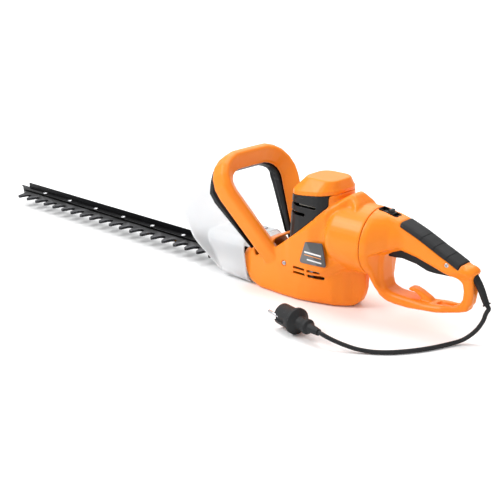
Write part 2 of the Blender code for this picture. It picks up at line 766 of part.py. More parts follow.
def blade(name, low):
    shape = prism(blade_outline(), "z", low, low + BLADE_T)
    window = block((GEAR_X - YOKE_X, GEAR_X + YOKE_X), (-YOKE_Y, YOKE_Y),
                   (low - OVER, low + BLADE_T + OVER))
    reach, half = STROKE + BOLT_R + GAP, BOLT_R + GAP
    for i in range(BOLT_COUNT):
        x = FIRST_BOLT_X + i * BOLT_PITCH
        slot = block((x - reach, x + reach), (BOLT_Y - half, BOLT_Y + half),
                     (low - OVER, low + BLADE_T + OVER))
        shape = cut(shape, slot)
    finish(name, cut(shape, window), "blade_steel")


def support_bar():
    front = FIRST_TOOTH_X - TIP_OVERHANG - STROKE
    flat = [(front, BLADE_BACK_Y + GAP + BAR_T), (front + 34, -6.0), (BAR_END, -6.0),
            (BAR_END, BLADE_BACK_Y + GAP + BAR_T)]
    bar = prism(flat, "z", BAR_Z, BAR_Z + BAR_T)
    flange = block((front + 30, FLANGE_END), (BLADE_BACK_Y + GAP, BLADE_BACK_Y + GAP + BAR_T),
                   (BAR_Z + 0.5, BAR_Z + FLANGE_H + BAR_T))
    bar = join(bar, flange)
    for i in range(BOLT_COUNT):
        x = FIRST_BOLT_X + i * BOLT_PITCH
        bar = cut(bar, turned([(BOLT_R + GAP, BAR_Z - OVER), (BOLT_R + GAP, BAR_Z + OVER)], 16,
                              centre=(x, BOLT_Y)))
    finish("support_bar", bar, "blade_steel")


def blade_bolts():
    top = BAR_Z + BAR_T + GAP
    for i in range(BOLT_COUNT):
        x = FIRST_BOLT_X + i * BOLT_PITCH
        low = LOWER_BLADE_Z - GAP
        profile = [(4.2, low - 1.6), (4.2, low), (BOLT_R, low), (BOLT_R, top), (4.4, top),
                   (4.4, top + 1.4), (3.0, top + 2.4)]
        finish(f"blade_bolt_{i + 1}", turned(profile, 12, centre=(x, BOLT_Y)), "steel")


# ---------------------------------------------------------------- drive


def gear_outline(teeth, addendum=0.55, dedendum=1.05):
    """Short, narrow teeth, which leave the running clearance of a greased gearbox."""
    pitch_r = GEAR_MODULE * teeth / 2
    points = []
    for i in range(teeth):
        for share, radius in ((-0.21, -dedendum), (-0.12, addendum), (0.12, addendum),
                              (0.21, -dedendum)):
            angle = 2 * math.pi * (i + share) / teeth
            points.append(((pitch_r + radius) * math.cos(angle), (pitch_r + radius) * math.sin(angle)))
    return points


def drive_gear():
    centre = (GEAR_X, 0.0)
    wheel = moved(prism(gear_outline(GEAR_TEETH), "z", GEAR_Z, GEAR_Z + GEAR_H), (*centre, 0))
    shaft = turned([(SHAFT_R, 5.2), (SHAFT_R, 55.0)], 20, centre=centre)
    hub = turned([(DISC_R - 2, BAR_Z + 0.5), (DISC_R - 2, GEAR_Z + 1)], 24, centre=centre)
    gear = join(wheel, shaft, hub)
    low = LOWER_BLADE_Z
    for offset, start, end in ((-STROKE, low, BLADE_Z - GAP), (STROKE, BLADE_Z - 0.5, BAR_Z + 1)):
        disc = turned([(DISC_R, start), (DISC_R, end)], 28, centre=(GEAR_X, offset))
        gear = join(gear, disc)
    finish("drive_gear", gear, "steel", (*centre, GEAR_Z))


def gearbox():
    low, high = FRAME_Z
    through = (low - OVER, high + OVER)
    frame = block((MOTOR_X - 46, MOTOR_X + 26), (-35, 35), FRAME_Z, 3.0)
    for x, y in ((-40, 31.5), (-40, -31.5), (6, 31.5), (6, -31.5)):
        foot = [(3.5, BASE_T + GAP), (3.5, low + 2)]
        frame = join(frame, turned(foot, 12, centre=(MOTOR_X + x, y)))
    for x, radius in ((GEAR_X, BUSH_R + GAP), (MOTOR_X, BEARING_R + GAP)):
        frame = cut(frame, turned([(radius, z) for z in through], 24, centre=(x, 0.0)))
    finish("gearbox_frame", frame, "aluminium")
    for name, span in (("lower", (4.8, 14.8)), ("upper", FRAME_Z)):
        bush = tube(BUSH_R, SHAFT_R + GAP, *span, 20, centre=(GEAR_X, 0.0))
        finish(f"gear_bush_{name}", bush, "brass")
    for name, span in (("lower", FRAME_Z), ("upper", BEARING_Z)):
        bearing = tube(BEARING_R, SHAFT_R + GAP, *span, 24, centre=(MOTOR_X, 0.0))
        finish(f"motor_bearing_{name}", bearing, "steel")
    carrier = block((MOTOR_X - 26, MOTOR_X + 26), (-26, 26), (BEARING_Z[0] - 1, BEARING_Z[1] + 1), 3.0)
    hole = turned([(BEARING_R + GAP, z) for z in (BEARING_Z[0] - OVER, BEARING_Z[1] + OVER)], 24,
                  centre=(MOTOR_X, 0.0))
    finish("bearing_carrier", cut(carrier, hole), "nylon")


def around_motor(bm, angle=0.0):
    """A shape made about the upright axis through the origin, put on the motor's axis."""
    return moved(bm, (MOTOR_X, 0, 0), Matrix.Rotation(angle, 4, "Z"))


def motor_shaft():
    pinion = moved(prism(gear_outline(PINION_TEETH), "z", GEAR_Z, GEAR_Z + GEAR_H),
                   turn=Matrix.Rotation(math.pi / PINION_TEETH, 4, "Z"))
    top = GEAR_Z + GEAR_H
    shaft = turned([(2.8, GEAR_Z - 1), (2.8, top), (SHAFT_R, top), (SHAFT_R, BEARING_Z[1] + 2)], 20)
    finish("motor_shaft", around_motor(join(pinion, shaft)), "steel", (MOTOR_X, 0, GEAR_Z))


def cooling_fan():
    low, high = FAN_Z
    fan = join(tube(9.0, SHAFT_R + GAP, low, high, 20), tube(FAN_R, 8.0, low, low + 1.6, 28))
    for i in range(FAN_VANES):
        vane = block((8.0, FAN_R - 1), (-0.8, 0.8), (low + 1, high))
        fan = join(fan, moved(vane, turn=Matrix.Rotation(2 * math.pi * i / FAN_VANES, 4, "Z")))
    finish("cooling_fan", around_motor(fan), "nylon", (MOTOR_X, 0, low))


def armature():
    low, high = CORE_Z
    core = cut(turned([(CORE_R, low), (CORE_R, high)], 36),
               turned([(SHAFT_R + GAP, low - OVER), (SHAFT_R + GAP, high + OVER)], 20))
    for i in range(CORE_SLOTS):
        slot = block((CORE_R - 5, CORE_R + OVER), (-1.2, 1.2), (low - OVER, high + OVER))
        core = cut(core, moved(slot, turn=Matrix.Rotation(2 * math.pi * i / CORE_SLOTS, 4, "Z")))
    finish("armature_core", around_motor(core), "copper", (MOTOR_X, 0, low))
    ring = tube(COMMUTATOR_R, SHAFT_R + GAP, high + 5, BRUSH_Z[1] + 1, 24)
    finish("commutator", around_motor(ring), "copper", (MOTOR_X, 0, high))


def stator():
    low, high = CORE_Z[0] - 2, CORE_Z[1] + 2
    ring = cut(turned([(STATOR_R, low), (STATOR_R, high)], 36),
               turned([(CORE_R + 0.8, low - OVER), (CORE_R + 0.8, high + OVER)], 36))
    for side in (-1, 1):
        flat = sorted((side * (STATOR_R - 5), side * (STATOR_R + OVER)))
        ring = cut(ring, block(flat, (-50, 50), (low - OVER, high + OVER)))
    finish("motor_stator", around_motor(ring), "steel")
    for side, name in ((-1, "left"), (1, "right")):
        y = sorted((side * (COMMUTATOR_R + 0.4), side * 28.0))
        holder = block((MOTOR_X - 5, MOTOR_X + 5), y, BRUSH_Z, 1.0)
        finish(f"brush_holder_{name}", holder, "brass")


# ---------------------------------------------------------------- rear handle

FLARE = [
    (SEAM_X + GAP, 48.5, 105.0, 48.5),
    (96.5, 46.0, 105.3, 47.5),
    (107.0, 36.0, 108.5, 43.0),
    (119.0, 25.0, 113.0, 35.0),
    (132.0, 18.5, 118.0, 25.0),
    (150.0, 13.0, 120.0, 16.0),
]
FRONT_LEG = [
    (92, SEAM_X + GAP, 106.0, 38),
    (72, 89.0, 105.5, 31),
    (56, 91.0, 107.0, 25),
    (44, 95.0, 113.0, 20),
    (33, 102.0, 124.0, 16.3),
]
LOOP_OUTSIDE = [
    (89, 80), (90, 60), (94, 44), (102, 32), (114, 26.5), (127, 25), (149, 25.3), (191, 30.4),
    (222, 37.5), (237, 43.5), (245, 52), (247, 67), (245.5, 84), (241, 94), (232, 99.5),
    (220, 105.2), (205, 112.3), (189, 119.3), (174, 126.5), (159, 133.3), (143, 139.5),
    (127, 145.4), (112, 149), (97, 146), (91, 112),
]
LOOP_INSIDE = [
    (106.5, 91), (105.5, 80), (106, 69), (107.5, 54), (112.5, 45), (123.5, 41), (134, 40.4),
    (175, 39.5), (191, 41.8), (212, 44.3), (222, 48), (227, 57), (227.5, 69), (225, 79),
    (218, 84), (206, 86.5), (186, 92.5), (157, 100.5), (133, 104.5), (119, 98.5),
]
HOOK = [(186, 37), (177, 45), (163, 51.5), (153, 54.5), (146.5, 53.5), (143.5, 50), (147, 48.2),
        (154, 48.5), (162, 44.5), (168, 37)]
GRIP_ROOM = [(92, 108), (97, 136), (121, 139.5), (143, 132), (159, 126), (189, 112), (207, 104),
             (207, 100), (186, 97.5), (157, 105.5), (133, 109.5), (117, 103.5)]
OVERLAY = [(132, 160), (222, 120), (222, 98.5), (205, 106.8), (189, 113.8), (174, 121), (159, 127.8),
           (143, 134), (132, 138.2)]
TRIGGER = [(208, 84), (183, 82.5), (171, 83), (154, 88.5), (132, 91.3), (120, 90), (110, 89.5),
           (109.5, 91.5), (113, 97), (120, 102), (133, 107), (157, 104), (186, 97.5), (208, 95.5)]


def grown(outline, amount):
    """A closed outline moved outwards by amount, or inwards where it is negative."""
    points = [Vector(p) for p in outline]
    area = sum(a.cross(b) for a, b in zip(points, points[1:] + points[:1]))
    sign = 1.0 if area > 0 else -1.0
    moved_out = []
    for i, here in enumerate(points):
        back = (here - points[i - 1]).normalized()
        ahead = (points[(i + 1) % len(points)] - here).normalized()
        normal = Vector((back.y + ahead.y, -back.x - ahead.x)).normalized() * sign
        moved_out.append(tuple(here + normal * (amount / max(0.5, normal.dot(
            Vector((back.y, -back.x)) * sign)))))
    return moved_out


def flare(inset=0.0):
    """The round end at the seam, drawn out into the grip; inset, the room inside it."""
    rows = [list(s) for s in FLARE]
    if inset:
        rows = [[rows[0][0] - OVER, *rows[0][1:]], [91.5, 48.0, 105.0, 48.0],
                [95.0, 42.0, 106.0, 44.0]]
    rings = []
    for x, half, middle, tall in rows:
        squash = (tall - inset) / (half - inset)
        rings.append([(x, y, z) for y, z in circle(half - inset, 32, (0.0, middle), squash)])
    return loft(rings)


def front_leg():
    """The broad front of the rear loop, narrowing down to its bottom bar."""
    rings = []
    for z, start, end, half in FRONT_LEG:
        corners = [(start, -half), (end, -half), (end, half), (start, half)]
        reach = min(half * 0.6, (end - start) * 0.45)
        rings.append([(x, y, z) for x, y in rounded(corners, [reach] * 4, 5)])
    return loft(rings)


def window():
    """The finger opening of the rear loop, wider at both faces so that its edges are eased."""
    edge = grown(LOOP_INSIDE, INSIDE_CHAMFER)
    mouth = grown(LOOP_INSIDE, 2 * INSIDE_CHAMFER)
    rings = []
    for y, outline in ((-50, mouth), (-LOOP_HALF - 0.5, edge), (-LOOP_HALF + 4, LOOP_INSIDE),
                       (LOOP_HALF - 4, LOOP_INSIDE), (LOOP_HALF + 0.5, edge), (50, mouth)):
        rings.append([on_plane("y", u, v, y) for u, v in outline])
    return loft(rings)


def gland_matrix():
    turn = Matrix.Rotation(math.pi / 2 + GLAND_DIP, 4, "Y")
    return Matrix.Translation(GLAND_START) @ turn


def loop_solid(grow=0.0):
    outline = grown(LOOP_OUTSIDE, grow) if grow else LOOP_OUTSIDE
    return prism(outline, "y", -LOOP_HALF - grow, LOOP_HALF + grow, 6.0 + grow, 3)


def rear_handle():
    boss = moved(turned([(8.5, 0.0), (11.3, 6.0), (10.6, 11.0)], 24), turn=gland_matrix())
    body = cut(join(loop_solid(), flare(), front_leg()), window())
    body = join(body, prism(HOOK, "y", -6.5, 6.5, 1.5, 2), boss)
    body = cut(body, flare(WALL), prism(GRIP_ROOM, "y", -10.5, 10.5))
    bore = turned([(GLAND_R + GAP, -6.0), (GLAND_R + GAP, GLAND_LENGTH)], 20)
    body = cut(body, moved(bore, turn=gland_matrix()))
    slot = [(107.5, 80), (211, 80), (211, 98), (150, 115), (107.5, 115)]
    body = cut(body, prism(slot, "y", -TRIGGER_HALF - GAP, TRIGGER_HALF + GAP))
    body = cut(body, prism(grown(OVERLAY, GAP), "y", -40, 40))
    body = cut(body, block(LATCH_X, (-LATCH_HALF, LATCH_HALF), (140, 170)))
    body = cut(body, block((188, 216), (-6, 6), (37, 60)))
    body = cut(body, turned([(TRIGGER_PIN_R + GAP, -12.0), (TRIGGER_PIN_R + GAP, 12.0)], 16, axis="y",
                            centre=(TRIGGER_PIVOT.x, TRIGGER_PIVOT.z)))
    head = SCREW_HEAD_R + SCREW_ROOM
    hole = turned([(head, -40.0), (head, -LOOP_HALF + SCREW_SINK)], 20, axis="y", centre=HANDLE_SCREW)
    for side, name in ((-1, "left"), (1, "right")):
        keep = sorted((side * GAP / 2, side * 80.0))
        half = common(body.copy(), block((0, 300), keep, (-20, 220)))
        if side < 0:
            half = cut(half, hole)
        finish(f"rear_handle_{name}", half, "orange", (SEAM_X, 0, BARREL_Z))
    body.free()
    screw("handle_screw", (HANDLE_SCREW[0], -LOOP_HALF + 0.2, HANDLE_SCREW[1]), (0, -1, 0),
          head_h=SCREW_SINK - 0.2 - GAP)


def swivel_collar():
    """Turns with the rear handle inside the barrel."""
    outer = BARREL_R - WALL - 4 * GAP
    collar = tube(outer, outer - 4, SEAM_X - 10, SEAM_X + 1.5, 32, "x", (0.0, BARREL_Z))
    finish("swivel_collar", collar, "nylon", (SEAM_X, 0, BARREL_Z))


def grip_parts():
    overlay = common(loop_solid(OVERLAY_PROUD), prism(OVERLAY, "y", -40, 40))
    finish("grip_overlay", overlay, "black_rubber")
    trigger = prism(TRIGGER, "y", -TRIGGER_HALF, TRIGGER_HALF)
    at = (TRIGGER_PIVOT.x, TRIGGER_PIVOT.z)
    trigger = cut(trigger, turned([(TRIGGER_PIN_R + GAP, -20.0), (TRIGGER_PIN_R + GAP, 20.0)], 16,
                                  axis="y", centre=at))
    finish("trigger", trigger, "black_plastic", TRIGGER_PIVOT)
    pin = turned([(TRIGGER_PIN_R, -12.0 + GAP), (TRIGGER_PIN_R, 12.0 - GAP)], 16, axis="y", centre=at)
    finish("trigger_pin", pin, "steel")
    start = LATCH_X[0] + 1.0
    slider = block((start + 2, start + 21), (-LATCH_HALF + GAP + 0.5, LATCH_HALF - GAP - 0.5), (144, 150.0))
    fin = block((start + 13, start + 18), (-5.0, 5.0), (148, 154.5), 1.0, 2)
    finish("latch_slider", join(slider, fin), "black_plastic", (start, 0, 145))
    switch = block((138, 160), (-8.5, 8.5), (116, 123.5), 1.0)
    finish("trigger_switch", switch, "black_plastic")
    finish("front_switch", block((-88, -64), (-12, 12), (40, 54), 1.0), "black_plastic")


# ---------------------------------------------------------------- cord and plug


def gland_end():
    return gland_matrix() @ Vector((0.0, 0.0, GLAND_LENGTH))


def cord_gland():
    rim = GLAND_LENGTH - 1.6
    profile = [(GLAND_R, 0.0), (GLAND_R, 14.0), (GLAND_TIP_R, rim), (GLAND_R, rim),
               (GLAND_R, GLAND_LENGTH)]
    gland = moved(turned(profile, 20), turn=gland_matrix())
    finish("cord_gland", gland, "black_rubber")


CORD_ROUTE = [
    (258.6, -2.0, 44.9), (257.9, -4.0, 38.6), (255.9, -7.0, 31.4), (251.8, -10.0, 23.2),
    (246.0, -12.5, 15.6), (240.0, -15.0, 9.4), (233.6, -20.0, 5.0), (226.4, -32.8, 3.3),
    (217.3, -54.0, 3.2), (205.6, -75.3, 3.2), (192.3, -94.0, 3.2), (181.4, -106.2, 3.2),
    (168.7, -116.6, 3.3), (157.4, -123.9, 4.2), (146.0, -130.6, 6.2), (133.3, -136.4, 9.4),
    (120.5, -141.2, 13.2), (111.0, -144.0, 16.4),
]


def plug_matrix():
    turn = Matrix.Rotation(PLUG_TURN, 4, "Z") @ Matrix.Rotation(math.pi / 2, 4, "Y")
    return Matrix.Translation(PLUG_START) @ turn


def cord():
    down = gland_matrix().to_3x3() @ Vector((0, 0, 1))
    start = gland_end() + down * GAP
    into = plug_matrix().to_3x3() @ Vector((0, 0, 1))
    end = PLUG_START - into * GAP
    route = smooth_curve([start + down * 5, *CORD_ROUTE, end - into * 5], CORD_POINTS)
    curve = bpy.data.curves.new("cord", "CURVE")
    curve.dimensions = "3D"
    curve.bevel_depth = CORD_R * MM
    curve.bevel_resolution = 2
    curve.use_fill_caps = True
    points = [start, *route, end]
    spline = curve.splines.new("POLY")
    spline.points.add(len(points) - 1)
    for target, p in zip(spline.points, points):
        target.co = (*(p * MM), 1.0)
    curve.materials.append(material("black_rubber"))
    obj = bpy.data.objects.new("cord", curve)
    bpy.context.scene.collection.objects.link(obj)


def plug():
    profile = [(4.6, 0.0), (6.5, 18.0), (10.0, 20.0), (10.5, 22.0), (10.0, 27.0), (8.5, 28.5),
               (9.5, 38.0), (FLANGE_R, 43.0), (FLANGE_R, 47.5), (15.2, 49.5), (15.0, PLUG_FACE)]
    shape = turned(profile, 28)
    for side in (-1, 1):
        notch = sorted((side * 12.0, side * 30.0))
        socket = turned([(2.7, PLUG_FACE - 5), (2.7, PLUG_FACE + OVER)], 14, centre=(0, side * PIN_SPREAD))
        shape = cut(shape, block((-4.5, 4.5), notch, (56, PLUG_FACE + OVER)), socket)
    finish("plug_body", moved(shape, turn=plug_matrix()), "black_rubber")
    for side, name in ((-1, "1"), (1, "2")):
        start = PLUG_FACE - 5 + GAP
        end = PLUG_FACE + PIN_LENGTH
        pin = turned([(2.4, start), (2.4, end - 1), (1.6, end)], 14, centre=(0, side * PIN_SPREAD))
        finish(f"plug_pin_{name}", moved(pin, turn=plug_matrix()), "steel")


def main():
    clear_scene()
    housing()
    base_plate()
    motor_cap()
    vent_cover()
    labels()
    screws()
    front_handle()
    front_lever()
    lever_pins()
    hand_guard()
    support_bar()
    blade("upper_blade", BLADE_Z)
    blade("lower_blade", LOWER_BLADE_Z)
    blade_bolts()
    drive_gear()
    gearbox()
    motor_shaft()
    cooling_fan()
    armature()
    stator()
    rear_handle()
    swivel_collar()
    grip_parts()
    cord_gland()
    cord()
    plug()


main()
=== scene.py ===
"""Looks of a corded hedge trimmer: moulded orange body, black blades, frosted guard."""

import json
import math

import bmesh
import bpy
from mathutils import Matrix, Vector

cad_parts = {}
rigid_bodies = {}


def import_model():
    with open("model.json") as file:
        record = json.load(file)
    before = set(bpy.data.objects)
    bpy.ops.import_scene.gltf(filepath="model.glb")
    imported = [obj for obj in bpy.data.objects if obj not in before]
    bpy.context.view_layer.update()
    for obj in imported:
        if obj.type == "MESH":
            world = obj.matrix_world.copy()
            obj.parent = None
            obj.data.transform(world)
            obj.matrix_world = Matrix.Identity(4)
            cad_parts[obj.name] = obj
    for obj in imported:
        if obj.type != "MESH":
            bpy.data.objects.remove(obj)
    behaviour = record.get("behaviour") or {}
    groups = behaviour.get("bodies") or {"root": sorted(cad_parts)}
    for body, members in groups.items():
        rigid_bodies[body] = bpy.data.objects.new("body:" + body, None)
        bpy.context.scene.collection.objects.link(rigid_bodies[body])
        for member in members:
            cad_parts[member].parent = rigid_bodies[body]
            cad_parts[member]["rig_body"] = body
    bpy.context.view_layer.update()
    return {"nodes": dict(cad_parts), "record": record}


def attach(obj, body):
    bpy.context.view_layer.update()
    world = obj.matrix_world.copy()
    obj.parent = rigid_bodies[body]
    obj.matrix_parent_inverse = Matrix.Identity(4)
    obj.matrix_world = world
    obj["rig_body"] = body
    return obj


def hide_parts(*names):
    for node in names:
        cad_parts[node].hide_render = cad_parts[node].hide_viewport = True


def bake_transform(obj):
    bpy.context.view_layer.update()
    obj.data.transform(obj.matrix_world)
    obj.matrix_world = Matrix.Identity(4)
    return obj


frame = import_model()

MM = 0.001  # sizes below are in millimetres unless they say otherwise
SPLIT = 0.1  # half the gap between the two halves of a moulding
CLOSED = 0.6  # points nearer the middle plane than this are drawn together

# Front loop and body
LEAN = math.radians(32.0)
LOOP_FOOT = Vector((-79.0, 0.0, 62.0))
LOOP_SPLIT = 24.0  # along the lean, where the loop meets its foot
VENT_SLOTS = [(x, z, z + 4.0) for z in (41.5, 49.0) for x in (-26.0, -1.0)]
SLOT_LENGTH = 21.0
SLOT_REACH = (30.0, 60.0)  # out from the middle plane
NOSE_BACK = -104.0  # the nose in front of this is one filled block
NOSE_TIP = -128.0
NOSE_MOUTH = ((-150.0, -23.0, 16.0), (-117.0, 15.5, 32.0))
SCREW_POCKET_AT = Vector((-44.0, -52.4, 52.0))
SCREW_POCKET_R = 4.7
SCREW_POCKET_DEPTH = 20.0

# Rear handle
LATCH_ROOM = ((90.9, -7.15, 142.2), (119.4, 7.15, 170.0))
LATCH_LINING = ((91.1, -6.95, 142.5), (118.9, 6.95, 154.0))
LATCH_INSIDE = ((91.6, -6.5, 143.2), (118.4, 6.5, 160.0))
POST_NARROWING = 0.42  # share of its width
POST_THINNING = 6.0
GROOVES = [(165.7, 130.8), (184.7, 121.4), (204.4, 112.4)]
GROOVE_SLOPE = -0.46
GROOVE_HALF = 0.45
GROOVE_DEPTH = 0.7

# Cord, sleeve and plug
CORD_R = 2.9
GLAND_START = Vector((230.0, 0.0, 100.0))
GLAND_DIP = math.radians(57.0)
GLAND_LENGTH = 52.0
GLAND_R = 5.4
GLAND_TIP_R = 4.2
GLAND_RINGS = 9
BOW = 2.2  # how far the sleeve bends away from its straight line
PLUG_START = Vector((99.0, -144.0, 18.6))
PLUG_TURN = math.radians(168.0)
CORD_POINTS = 52
CORD_ROUTE = [
    (258.6, -2.0, 44.9), (257.9, -4.0, 38.6), (255.9, -7.0, 31.4), (251.8, -10.0, 23.2),
    (246.0, -12.5, 15.6), (240.0, -15.0, 9.4), (233.6, -20.0, 5.0), (226.4, -32.8, 3.3),
    (217.3, -54.0, 3.2), (205.6, -75.3, 3.2), (192.3, -94.0, 3.2), (181.4, -106.2, 3.2),
    (168.7, -116.6, 3.3), (157.4, -123.9, 4.2), (146.0, -130.6, 6.2), (133.3, -136.4, 9.4),
    (120.5, -141.2, 13.2), (111.0, -144.0, 16.4),
]

# Name plate: (low, high, front, back, colour) of each printed bar
BARS = [
    (78.0, 80.4, -5.0, 25.0, (0.80, 0.80, 0.80, 1.0)),
    (74.6, 75.6, -5.0, 25.0, (0.90, 0.30, 0.03, 1.0)),
    (67.6, 69.8, 0.0, 26.0, (0.75, 0.75, 0.75, 1.0)),
]

# ---------------------------------------------------------------- camera, light and floor

CAMERA_AT = (0.7627, -1.01474, 0.51395)
CAMERA_AZIMUTH = math.radians(41.97)
CAMERA_RISE = math.radians(19.31)
LENS = 66.43
CENTRE = Vector((-0.25, 0.0, 0.08))


def facing(direction):
    return Vector(direction).to_track_quat("Z", "Y").to_matrix().to_4x4()


def camera():
    back = Vector((math.sin(CAMERA_AZIMUTH) * math.cos(CAMERA_RISE),
                   -math.cos(CAMERA_AZIMUTH) * math.cos(CAMERA_RISE), math.sin(CAMERA_RISE)))
    data = bpy.data.cameras.new("camera")
    data.lens = LENS
    data.sensor_width = 36.0
    made = bpy.data.objects.new("camera", data)
    made.matrix_world = Matrix.Translation(CAMERA_AT) @ facing(back)
    bpy.context.scene.collection.objects.link(made)
    bpy.context.scene.camera = made


def soft_light(name, at, size, power, aim=CENTRE):
    data = bpy.data.lights.new(name, "AREA")
    data.shape = "RECTANGLE"
    data.size, data.size_y = size
    data.energy = power
    made = bpy.data.objects.new(name, data)
    made.matrix_world = Matrix.Translation(at) @ facing(Vector(at) - Vector(aim))
    bpy.context.scene.collection.objects.link(made)


def studio():
    scene = bpy.context.scene
    scene.view_settings.view_transform = "Standard"
    world = bpy.data.worlds.new("studio")
    world.use_nodes = True
    world.node_tree.nodes["Background"].inputs["Color"].default_value = (0.98, 0.99, 1.0, 1.0)
    world.node_tree.nodes["Background"].inputs["Strength"].default_value = 0.62
    scene.world = world
    soft_light("key", (-1.1, -1.2, 1.5), (0.9, 0.9), 30.0)
    soft_light("fill", (1.8, -0.9, 0.9), (1.2, 1.2), 3.0)
    soft_light("top", (-0.3, 0.3, 1.9), (1.6, 1.0), 16.0)
    soft_light("far_floor", (-3.6, 4.0, 4.0), (6.0, 6.0), 260.0, (-3.6, 4.0, 0.0))
    bm = bmesh.new()
    bmesh.ops.create_grid(bm, x_segments=1, y_segments=1, size=8.0)
    floor = placed("floor", bm, None)
    plain = bpy.data.materials.new("floor_paint")
    plain.use_nodes = True
    shader = plain.node_tree.nodes["Principled BSDF"]
    shader.inputs["Base Color"].default_value = (0.93, 0.93, 0.93, 1.0)
    shader.inputs["Roughness"].default_value = 0.9
    floor.data.materials.append(plain)


# ---------------------------------------------------------------- mesh tools


def placed(name, bm, finish, sharp=None):
    """The bmesh as an object at the origin, smooth apart from edges over the sharp angle in degrees."""
    mesh = bpy.data.meshes.new(name)
    bm.to_mesh(mesh)
    bm.free()
    if sharp:
        mesh.polygons.foreach_set("use_smooth", [True] * len(mesh.polygons))
        mesh.set_sharp_from_angle(angle=math.radians(sharp))
    made = bpy.data.objects.new(name, mesh)
    bpy.context.scene.collection.objects.link(made)
    if finish:
        mesh.materials.append(finish)
    return made


def copied(*nodes, grow=0.0):
    """The CAD solids' faces, joined up and grown along their normals."""
    bm = bmesh.new()
    for node in nodes:
        one = bmesh.new()
        one.from_mesh(frame["nodes"][node].data)
        bmesh.ops.remove_doubles(one, verts=one.verts, dist=2e-6)
        bmesh.ops.recalc_face_normals(one, faces=one.faces)
        if grow:
            one.normal_update()
            for v in one.verts:
                v.co += v.normal * grow * MM
        mesh = bpy.data.meshes.new("part")
        one.to_mesh(mesh)
        one.free()
        bm.from_mesh(mesh)
        bpy.data.meshes.remove(mesh)
    return bm


def evaluated(obj):
    """The object's mesh with its modifiers applied, as a bmesh; the object goes."""
    bpy.context.view_layer.update()
    graph = bpy.context.evaluated_depsgraph_get()
    mesh = bpy.data.meshes.new_from_object(obj.evaluated_get(graph))
    bm = bmesh.new()
    bm.from_mesh(mesh)
    bpy.data.meshes.remove(mesh)
    old = obj.data
    bpy.data.objects.remove(obj)
    bpy.data.meshes.remove(old)
    return bm


def remeshed(bm, voxel, rounds):
    """One even skin over the shape, its edges eased by rounds of smoothing."""
    work = placed("work", bm, None)
    remesh = work.modifiers.new("remesh", "REMESH")
    remesh.mode = "VOXEL"
    remesh.voxel_size = voxel * MM
    smooth = work.modifiers.new("smooth", "SMOOTH")
    smooth.factor = 0.5
    smooth.iterations = rounds
    return evaluated(work)


def cut(bm, cutter, operation="DIFFERENCE"):
    work = placed("work", bm, None)
    tool = placed("tool", cutter, None)
    modifier = work.modifiers.new("cut", "BOOLEAN")
    modifier.operation = operation
    modifier.solver = "EXACT"
    modifier.object = tool
    made = evaluated(work)
    bpy.data.objects.remove(tool)
    return made


def sliced(bm, at, normal):
    """The side of the plane that its normal points away from, closed where it was cut."""
    bm = bm.copy()
    geom = [*bm.verts, *bm.edges, *bm.faces]
    bmesh.ops.bisect_plane(bm, geom=geom, plane_co=at, plane_no=normal, clear_outer=True)
    edges = [e for e in bm.edges if e.is_boundary]
    bmesh.ops.triangle_fill(bm, use_beauty=True, use_dissolve=False, edges=edges, normal=normal)
    bmesh.ops.recalc_face_normals(bm, faces=bm.faces)
    return bm


def box_shape(low, high):
    bm = bmesh.new()
    bmesh.ops.create_cube(bm, size=1.0)
    for v in bm.verts:
        v.co = Vector([(low[i] if v.co[i] < 0 else high[i]) * MM for i in range(3)])
    return bm


def crisp(bm, width=0.35, angle=30.0):
    """Flat faces joined up and hard edges given a small round."""
    bmesh.ops.dissolve_limit(bm, angle_limit=math.radians(0.6), verts=bm.verts, edges=bm.edges)
    work = placed("work", bm, None)
    bevel = work.modifiers.new("bevel", "BEVEL")
    bevel.width = width * MM
    bevel.segments = 2
    bevel.limit_method = "ANGLE"
    bevel.angle_limit = math.radians(angle)
    return evaluated(work)


def piece(name, bm, finish, body, replaces=(), sharp=35.0):
    made = placed(name, bm, MATERIALS[finish], sharp)
    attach(made, body)
    if replaces:
        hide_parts(*replaces)
    return made


# ---------------------------------------------------------------- finishes


class Nodes:
    """A short way to write node trees."""

    def __init__(self, tree):
        self.tree = tree

    def add(self, kind, links=None, **values):
        node = self.tree.nodes.new(kind)
        for name, value in values.items():
            setattr(node, name, value)
        for name, value in (links or {}).items():
            socket = node.inputs[name]
            if isinstance(value, bpy.types.NodeSocket):
                self.tree.links.new(value, socket)
            else:
                socket.default_value = value
        return node

    def ramp(self, source, stops, interpolation="LINEAR"):
        node = self.add("ShaderNodeValToRGB", {"Fac": source})
        ramp = node.color_ramp
        ramp.interpolation = interpolation
        while len(ramp.elements) < len(stops):
            ramp.elements.new(0.5)
        for element, (at, colour) in zip(ramp.elements, stops):
            element.position = at
            element.color = (*colour, 1.0) if len(colour) == 3 else colour
        return node.outputs["Color"]

    def grey(self, source, stops):
        return self.ramp(source, [(at, (v, v, v)) for at, v in stops])


def group(name, inputs, outputs, build):
    tree = bpy.data.node_groups.new(name, "ShaderNodeTree")
    for label, kind, value in inputs:
        socket = tree.interface.new_socket(label, in_out="INPUT", socket_type=kind)
        socket.default_value = value
    for label, kind in outputs:
        tree.interface.new_socket(label, in_out="OUTPUT", socket_type=kind)
    nodes = Nodes(tree)
    start = nodes.add("NodeGroupInput")
    end = nodes.add("NodeGroupOutput")
    build(nodes, start.outputs, end.inputs, tree)
    return tree


